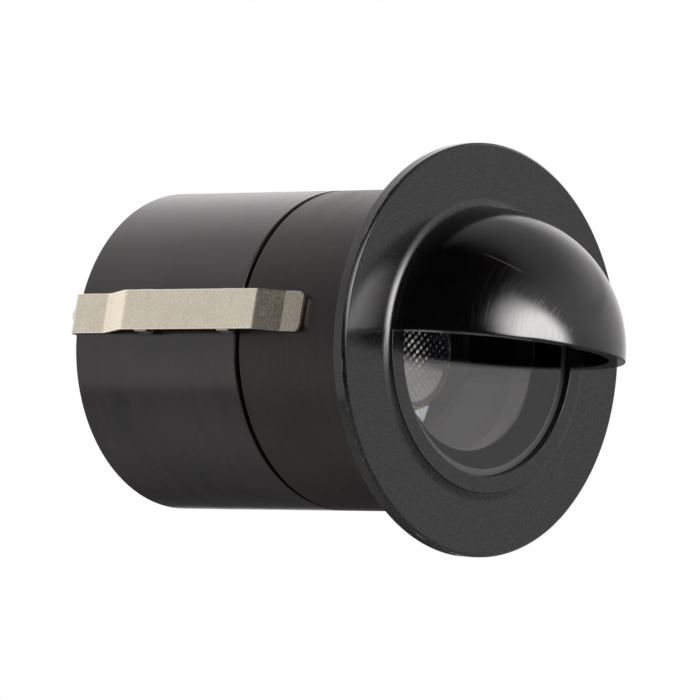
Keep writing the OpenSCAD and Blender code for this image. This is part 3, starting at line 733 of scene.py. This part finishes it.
def strip(mesh, path, width, way):
    """Adds a strip along a path of (radius, y) points of its inner face, with its width at each point."""
    ease = 0.13
    rows = []
    for i, here in enumerate(path):
        ahead = path[min(i + 1, len(path) - 1)] - path[max(i - 1, 0)]
        ahead.normalize()
        out = Vector((-ahead.y, ahead.x))
        half = width[i] / 2
        section = [(0, -half + ease), (ease * 0.3, -half + ease * 0.3), (ease, -half),
                   (CLIP_T - ease, -half), (CLIP_T - ease * 0.3, -half + ease * 0.3), (CLIP_T, -half + ease),
                   (CLIP_T, half - ease), (CLIP_T - ease * 0.3, half - ease * 0.3), (CLIP_T - ease, half),
                   (ease, half), (ease * 0.3, half - ease * 0.3), (0, half - ease)]
        row = []
        for up, across in section:
            r = here.x + out.x * up
            y = here.y + out.y * up
            row.append(mesh.verts.new(way @ Vector((r * MM, y * MM, across * MM))))
        rows.append(row)
    join_rows(mesh, rows)
    mesh.faces.new(rows[0])
    mesh.faces.new(rows[-1][::-1])


def stepped(path, most):
    """A path with extra points, so that none lie further apart than most."""
    done = [path[0]]
    for a, b in zip(path, path[1:]):
        count = max(1, math.ceil((b - a).length / most))
        done += [a + (b - a) * k / count for k in range(1, count + 1)]
    return done


leaf_path = eased([(FOOT_SIDE, 57.0), (FOOT_SIDE, 51.1, 2.6), (RAISED_R, 45.9, 2.2), (RAISED_R, 19.5, 1.4),
                   (24.15, 15.6, 1.2), (TIP_R, TIP_Y)], 1.0, closed=False, steps=6)
leaf_path = stepped(leaf_path, 0.6)
corner_y = TIP_Y + TIP_ROUND
tip_ys = [corner_y - TIP_ROUND * math.sin(math.radians(t)) for t in (0, 15, 30, 45, 60, 72, 82, 90)]
leaf_path = [p for p in leaf_path if p.y > corner_y + 0.05]
leaf_path += [Vector((TIP_R + (y - TIP_Y) * 0.118, y)) for y in tip_ys]
narrowing = [TIP_ROUND - math.sqrt(max(0.0, TIP_ROUND ** 2 - (corner_y - p.y) ** 2))
             if p.y < corner_y + 0.01 else 0.0 for p in leaf_path]
leaf_width = [CLIP_W - 2 * narrow for narrow in narrowing]
tab_path = stepped(eased([(18.0, HOUSING_END), (FOOT_SIDE, HOUSING_END, 0.12), (FOOT_SIDE, 57.0)], 0.1,
                         closed=False, steps=8), 0.6)


def ear(mesh, way, y, side):
    """Adds one ear: the strip's side edge folded through a quarter turn towards the body."""
    bend = [(RAISED_R + CLIP_T / 2, side * 2.38)]
    for t in (0, 22.5, 45, 67.5, 90):
        a = math.radians(t)
        bend.append((26.02 - FOLD_R * (1 - math.cos(a)), side * (2.45 + FOLD_R * math.sin(a))))
    bend.append((24.3, side * 2.9))
    rows = []
    for i, (r, z) in enumerate(bend):
        a, b = bend[max(i - 1, 0)], bend[min(i + 1, len(bend) - 1)]
        run = Vector((b[0] - a[0], b[1] - a[1])).normalized()
        flat = Vector((-run.y, run.x)) * (CLIP_T / 2)
        row = []
        for sign, along in ((1, -EAR_HALF), (1, EAR_HALF), (-1, EAR_HALF), (-1, -EAR_HALF)):
            row.append(mesh.verts.new(way @ Vector(((r + sign * flat.x) * MM, (y + along) * MM,
                                                    (z + sign * flat.y) * MM))))
        rows.append(row)
    join_rows(mesh, rows)
    mesh.faces.new(rows[0])
    mesh.faces.new(rows[-1][::-1])


def tumbled_steel(w):
    """Warm grey speckle with faint lines along the strip, and paler, smoother edges: burnish from the
    tumbling, with a painted highlight on top.
    """
    at, x, _, z = place(w)
    speck = band(w, mottle(w, 0.32, detail=4.0), 0.34, 0.66)
    cloud = mottle(w, 3.0, detail=3.0)
    drawn = w.node("ShaderNodeMapping", inputs={"Vector": at, "Scale": (1.0, 0.08, 1.0)})
    lines = mottle(w, 0.12, at=drawn, detail=2.0)
    across = w.maths("ABSOLUTE", x * math.sin(CLIP_ANGLE) + z * math.cos(CLIP_ANGLE))
    # Paler strip edges: tumbling burnish, and a painted highlight.
    burnish_and_highlight = band(w, across, 2.82 * MM, 2.96 * MM)
    grey = tint(w, speck * 0.55 + cloud * 0.45, (0.68, 0.625, 0.50), (0.99, 0.93, 0.78))
    return {"Base Color": tint(w, burnish_and_highlight * 0.9, grey, (1.0, 0.97, 0.88)),
            "Roughness": 0.38 + speck * 0.06 - burnish_and_highlight * 0.12,
            "Normal": relief(w, speck * 0.5 + lines * 0.5, 0.0015)}


steel_finish = finish("tumbled_steel", tumbled_steel, {"Metallic": 1.0})
for hand, angle in (("left", math.pi - CLIP_ANGLE), ("right", -CLIP_ANGLE)):
    way = Quaternion((0, 1, 0), -angle)
    leaf_mesh = bmesh.new()
    strip(leaf_mesh, leaf_path, leaf_width, way)
    for ear_y in EAR_YS:
        for side_sign in (-1, 1):
            ear(leaf_mesh, way, ear_y, side_sign)
    leaf = fit(piece("clip_leaf_" + hand, leaf_mesh), "housing", steel_finish, "spring_steel",
               "spring_clip_" + hand)
    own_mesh(leaf)
    tab_mesh = bmesh.new()
    strip(tab_mesh, tab_path, [CLIP_W] * len(tab_path), way)
    fit(piece("clip_tab_" + hand, tab_mesh), "housing", steel_finish, "spring_steel", "spring_clip_" + hand)
dress("clip_screws", zinc_finish)

# Cable gland: nickel-plated brass body and crowned nut that squeeze a black rubber bush round the cable.
# The hexagons are milled, with turned chamfers on their corners.
FLATS = 12.6
CORNER_R = 7.3
NUT_START = 62.7
NUT_END = 70.2
STEM_START = 53.2


def hexagon(r, y, a):
    """Radius of a turned shape once the six flats are milled on it."""
    lean = a % (math.pi / 3) - math.pi / 6
    return min(r, FLATS / 2 / math.cos(lean))


def fine_rows(*path):
    """A sloping part of an outline in close rows, so that the flats cut it cleanly."""
    return stepped([Vector(p) for p in path], 0.12)


nut_mesh = bmesh.new()
crown = fine_rows((6.3, NUT_START), (CORNER_R, 63.3))
crown += fine_rows((CORNER_R, 67.6), (5.5, 69.4), (4.7, NUT_END))
nut_outline = crown + [Vector(p) for p in ((3.4, NUT_END), (3.2, 70.0), (3.2, 69.4), (4.1, 69.4),
                                           (4.1, 66.5), (5.35, 66.5), (5.35, NUT_START))]
turn(nut_mesh, nut_outline, shape=hexagon)


def nickel(w):
    rings = tool_rings(w, 0.25)
    cloud = mottle(w, 2.0, detail=4.0)
    return {"Base Color": tint(w, cloud, (0.58, 0.56, 0.52), (0.72, 0.70, 0.66)),
            "Roughness": 0.16 + cloud * 0.14,
            "Normal": relief(w, rings, 0.003)}


nickel_finish = finish("nickel_plate", nickel, {"Metallic": 1.0})
fit(piece("gland_cap", nut_mesh), "housing", nickel_finish, "plated_brass", "gland_nut")

stem_mesh = bmesh.new()
hex_part = fine_rows((6.35, 58.5), (CORNER_R, 59.05)) + fine_rows((CORNER_R, 61.95), (6.35, 62.5))
male = eased([(5.3, 62.5), (5.3, 66.3, 0.2), (4.1, 66.3), (4.1, 62.9), (3.0, 62.9), (3.0, STEM_START),
              (5.0, STEM_START), (5.0, 58.5)], 0.05, closed=False)
turn(stem_mesh, hex_part + male, shape=hexagon)
fit(piece("gland_stem", stem_mesh), "housing", nickel_finish, "plated_brass", "gland_body")
dress("gland_bush", rubber_finish)

# Studio: a plain pale floor, and a soft surround that is white to the sides and behind, duller overhead and
# low down, and black round the camera and on its left, with one soft round-topped window to its right.
FLOOR_HALF = 4
FLOOR_Z = -0.2
DEGREES = 180 / math.pi
WINDOW_LIGHT = 17


def floor_paint(w):
    cloud = mottle(w, 60.0, detail=4.0)
    return {"Base Color": tint(w, cloud, (0.91, 0.91, 0.91), (0.94, 0.94, 0.94)),
            "Roughness": 0.7 + cloud * 0.1}


def toward(azimuth, elevation):
    """Direction from the part: azimuth 0 is -Y and 90 is +X, in degrees."""
    a, e = math.radians(azimuth), math.radians(elevation)
    return Vector((math.sin(a) * math.cos(e), -math.cos(a) * math.cos(e), math.sin(e)))


floor_mesh = bmesh.new()
floor_mesh.faces.new([floor_mesh.verts.new((FLOOR_HALF * x, FLOOR_HALF * y, FLOOR_Z))
                      for x, y in ((-1, -1), (1, -1), (1, 1), (-1, 1))])
floor = piece("floor", floor_mesh)
floor.data.materials.append(finish("floor_paint", floor_paint))
floor.visible_glossy = False

surround = bpy.data.worlds.new("studio_surround")
surround.use_nodes = True
w = Wire(surround.node_tree)
heading = w.node("ShaderNodeTexCoord", output="Generated")
x, y, z = (w.node("ShaderNodeSeparateXYZ", inputs={0: heading}, output=i) for i in range(3))
azimuth = w.maths("ARCTAN2", x, 0 - y) * DEGREES
rearward = w.maths("ARCTAN2", x, y) * DEGREES
elevation = w.maths("ARCSINE", z) * DEGREES
overhead = 0.05 + band(w, x, -0.35, 0.3) * 0.6
high_rear = 1.12 + band(w, elevation, 24, 34) * 0.08
high_rear = high_rear + band(w, rearward, -14, 4) * band(w, elevation, 8, 30) * 0.35
low_rear = 0.6 - band(w, rearward, -30, 50) * 0.51
rear = low_rear + (high_rear - low_rear) * band(w, elevation - rearward * 0.23, -17, -14)
rear = rear + (overhead - rear) * band(w, elevation, 47, 56)
rear = rear * (1 - band(w, elevation, -31, -28) * (1 - band(w, elevation, -26, -22)) * 0.22)
front = 0.48 + band(w, elevation, -14, 22) * 0.62
front = front + (overhead - front) * band(w, elevation, 30, 62)
streak = band(w, azimuth, 45, 60) * band(w, elevation, 22, 25) * (1 - band(w, elevation, 27, 30))
front = front * (1 - streak * 0.22)
glow = front + (rear - front) * band(w, y, 0.15, 0.45)
flag = (band(w, azimuth + elevation * 0.3, -131, -122) * band(w, elevation, -30, -16)
        * (1 - band(w, azimuth + elevation * 1.2, -40, -25) * band(w, azimuth - elevation * 0.6, -68, -50))
        * (1 - band(w, elevation, 66, 88)))
left = 1 - band(w, azimuth, -25, 0)
aside = w.maths("MAXIMUM", (azimuth + elevation * 0.4 + 4.8) / 32, (0 - azimuth - elevation * 0.5) / 30)
out = (aside ** 2 + ((elevation - 5) / 28) ** 2) ** 0.5
window = (1 - band(w, out, 0.75 - left * 0.37, 1.2 + left * 0.2)) * band(w, elevation + left * 7, 3, 8)
glow = glow * (1 - flag * 0.99) + window * WINDOW_LIGHT
seen = surround.node_tree.nodes["Background"]
seen.inputs["Color"].default_value = (1, 1, 1, 1)
lit = w.node("ShaderNodeBackground", inputs={"Color": (1, 0.975, 0.97, 1), "Strength": glow})
from_camera = w.node("ShaderNodeLightPath", output="Is Camera Ray")
both = w.node("ShaderNodeMixShader", inputs={0: from_camera, 1: lit, 2: Wire(w.tree, seen.outputs[0])})
w.tree.links.new(both.socket, w.tree.nodes["World Output"].inputs["Surface"])
bpy.context.scene.world = surround
bpy.context.scene.view_settings.view_transform = "Standard"

# Camera: a long lens that looks from the front left, a little below the axis of the light. It leans over
# slightly, as in the photograph.
CAMERA_TARGET = Vector((-11.983, 13.205, -1.683))
CAMERA_AWAY = 1216.08
CAMERA_LEAN = math.radians(5.446)
camera_back = toward(-47.19, -6.196)
camera = bpy.data.cameras.new("camera")
camera.lens = 432
camera.sensor_width = 36
camera.clip_start = 0.05
camera.clip_end = 20
camera_stand = bpy.data.objects.new("camera", camera)
camera_stand.location = CAMERA_TARGET * MM + camera_back * CAMERA_AWAY * MM
camera_stand.rotation_mode = "QUATERNION"
camera_stand.rotation_quaternion = camera_back.to_track_quat("Z", "Y") @ Quaternion((0, 0, 1), CAMERA_LEAN)
bpy.context.scene.collection.objects.link(camera_stand)
bpy.context.scene.camera = camera_stand
